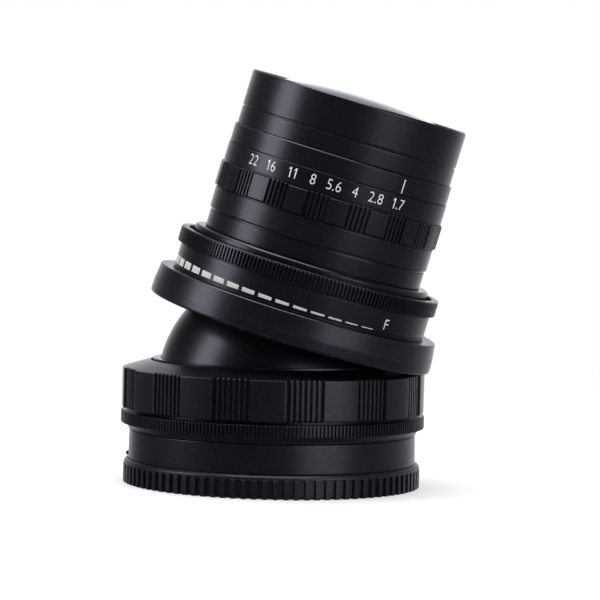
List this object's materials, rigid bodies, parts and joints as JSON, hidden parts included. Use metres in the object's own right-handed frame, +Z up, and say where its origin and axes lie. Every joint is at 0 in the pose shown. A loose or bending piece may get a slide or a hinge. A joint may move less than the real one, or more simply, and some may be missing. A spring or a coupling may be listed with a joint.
{
  "type": "prime camera lens",
  "caption": "Manual-focus prime camera lens whose head tilts on a ball joint, with focus and aperture rings, a tilt tension ring and a lock ring, standing on its rear cap.",
  "frame": {"origin": "centre of the rear cap's flat underside, on the base axis", "axes": "+Z up along the base axis, from the rear cap towards the ball joint; +X is the side that the head leans towards at rest; the scales face about -Y"},
  "size_m": [0.0705, 0.0634, 0.0863],
  "materials": {
    "anodised_black": "fine bead-blasted black anodising",
    "shoulder_black": "turned black anodising",
    "ball_black": "smooth semi-gloss black anodising with faint turning marks",
    "cap_plastic": "moulded black plastic",
    "steel": "turned steel",
    "bead_black": "smooth black plastic",
    "seat_polymer": "plain bearing polymer",
    "brass": "turned brass",
    "inner_black": "matte black paint",
    "optical_glass": "polished and coated glass",
    "blade_steel": "blackened spring steel",
    "scale_paint": "white filled engraving"
  },
  "bodies": {
    "base": {"mount_tube": "anodised_black", "bayonet_mount": "steel", "mount_screws": "steel", "index_bead": "bead_black", "wave_washer": "steel"},
    "rear_cap": {"rear_cap": "cap_plastic"},
    "lock_ring": {"lock_ring": "anodised_black"},
    "tension_ring": {"tension_ring": "anodised_black"},
    "seat": {"lower_seat": "seat_polymer", "upper_seat": "anodised_black", "tilt_pins": "steel"},
    "ball_head": {"ball": "ball_black", "ball_baffle": "inner_black", "bell_collar": "anodised_black", "bell_screws": "steel", "snap_ring": "steel", "focus_stop_pin": "steel"},
    "focus_ring": {"focus_ring": "anodised_black", "helicoid_nut": "brass"},
    "barrel": {"main_barrel": "anodised_black", "shoulder_ring": "shoulder_black", "slide_key": "brass", "index_ring": "anodised_black", "upper_ring": "anodised_black", "front_barrel": "anodised_black", "filter_ring": "inner_black", "front_cell": "inner_black", "front_spacer": "inner_black", "glass_1": "optical_glass", "glass_2": "optical_glass", "glass_3": "optical_glass", "iris_base": "inner_black", "click_ball": "steel", "click_spring": "steel", "rear_cell": "inner_black", "rear_spacer": "inner_black", "rear_retainer": "inner_black", "glass_4": "optical_glass", "glass_5": "optical_glass", "glass_6": "optical_glass"},
    "aperture_ring": {"aperture_ring": "anodised_black", "iris_cam": "inner_black", "iris_lever": "steel"},
    "blade_1": {"blade_1": "blade_steel"},
    "blade_2": {"blade_2": "blade_steel"},
    "blade_3": {"blade_3": "blade_steel"},
    "blade_4": {"blade_4": "blade_steel"},
    "blade_5": {"blade_5": "blade_steel"},
    "blade_6": {"blade_6": "blade_steel"},
    "blade_7": {"blade_7": "blade_steel"},
    "blade_8": {"blade_8": "blade_steel"}
  },
  "joints": [
    {"name": "cap_twist", "type": "hinge", "parent": "base", "child": "rear_cap", "pos_m": [0, 0, 0.003], "axis": [0, 0, 1], "range_deg": [0, 50]},
    {"name": "lock_turn", "type": "hinge", "parent": "base", "child": "lock_ring", "pos_m": [0, 0, 0.0135], "axis": [0, 0, 1], "range_deg": [0, 40]},
    {"name": "tension_turn", "type": "hinge", "parent": "base", "child": "tension_ring", "pos_m": [0, 0, 0.0195], "axis": [0, 0, 1], "range_deg": [0, 60]},
    {"name": "tilt_direction", "type": "hinge", "parent": "base", "child": "seat", "pos_m": [0, 0, 0.0205], "axis": [0, 0, 1], "continuous": true},
    {"name": "tilt", "type": "hinge", "parent": "seat", "child": "ball_head", "pos_m": [0, 0, 0.0205], "axis": [0, 1, 0], "range_deg": [-31.2, 0]},
    {"name": "focus_turn", "type": "hinge", "parent": "ball_head", "child": "focus_ring", "pos_m": [0.00592, 0, 0.04169], "axis": [0.2689, 0, 0.9632], "range_deg": [0, 150]},
    {"name": "focus_travel", "type": "slide", "parent": "ball_head", "child": "barrel", "axis": [0.2689, 0, 0.9632], "range_m": [0, 0.0055]},
    {"name": "aperture_turn", "type": "hinge", "parent": "barrel", "child": "aperture_ring", "pos_m": [0.01049, 0, 0.05806], "axis": [0.2689, 0, 0.9632], "range_deg": [0, 85]},
    {"name": "blade_1_swing", "type": "hinge", "parent": "barrel", "child": "blade_1", "pos_m": [0.02856, 0, 0.05509], "axis": [0.2689, 0, 0.9632], "range_deg": [0, 35.8]},
    {"name": "blade_2_swing", "type": "hinge", "parent": "barrel", "child": "blade_2", "pos_m": [0.02342, 0.01287, 0.05653], "axis": [0.2689, 0, 0.9632], "range_deg": [0, 35.8]},
    {"name": "blade_3_swing", "type": "hinge", "parent": "barrel", "child": "blade_3", "pos_m": [0.01103, 0.0182, 0.05999], "axis": [0.2689, 0, 0.9632], "range_deg": [0, 35.8]},
    {"name": "blade_4_swing", "type": "hinge", "parent": "barrel", "child": "blade_4", "pos_m": [-0.00137, 0.01287, 0.06345], "axis": [0.2689, 0, 0.9632], "range_deg": [0, 35.8]},
    {"name": "blade_5_swing", "type": "hinge", "parent": "barrel", "child": "blade_5", "pos_m": [-0.0065, 0, 0.06488], "axis": [0.2689, 0, 0.9632], "range_deg": [0, 35.8]},
    {"name": "blade_6_swing", "type": "hinge", "parent": "barrel", "child": "blade_6", "pos_m": [-0.00137, -0.01287, 0.06345], "axis": [0.2689, 0, 0.9632], "range_deg": [0, 35.8]},
    {"name": "blade_7_swing", "type": "hinge", "parent": "barrel", "child": "blade_7", "pos_m": [0.01103, -0.0182, 0.05999], "axis": [0.2689, 0, 0.9632], "range_deg": [0, 35.8]},
    {"name": "blade_8_swing", "type": "hinge", "parent": "barrel", "child": "blade_8", "pos_m": [0.02342, -0.01287, 0.05653], "axis": [0.2689, 0, 0.9632], "range_deg": [0, 35.8]}
  ],
  "couplings": [
    {"joint": "focus_travel", "follows": "focus_turn", "m_per_rad": 0.0021008},
    {"joint": "blade_1_swing", "follows": "aperture_turn", "ratio": 0.42},
    {"joint": "blade_2_swing", "follows": "aperture_turn", "ratio": 0.42},
    {"joint": "blade_3_swing", "follows": "aperture_turn", "ratio": 0.42},
    {"joint": "blade_4_swing", "follows": "aperture_turn", "ratio": 0.42},
    {"joint": "blade_5_swing", "follows": "aperture_turn", "ratio": 0.42},
    {"joint": "blade_6_swing", "follows": "aperture_turn", "ratio": 0.42},
    {"joint": "blade_7_swing", "follows": "aperture_turn", "ratio": 0.42},
    {"joint": "blade_8_swing", "follows": "aperture_turn", "ratio": 0.42}
  ]
}
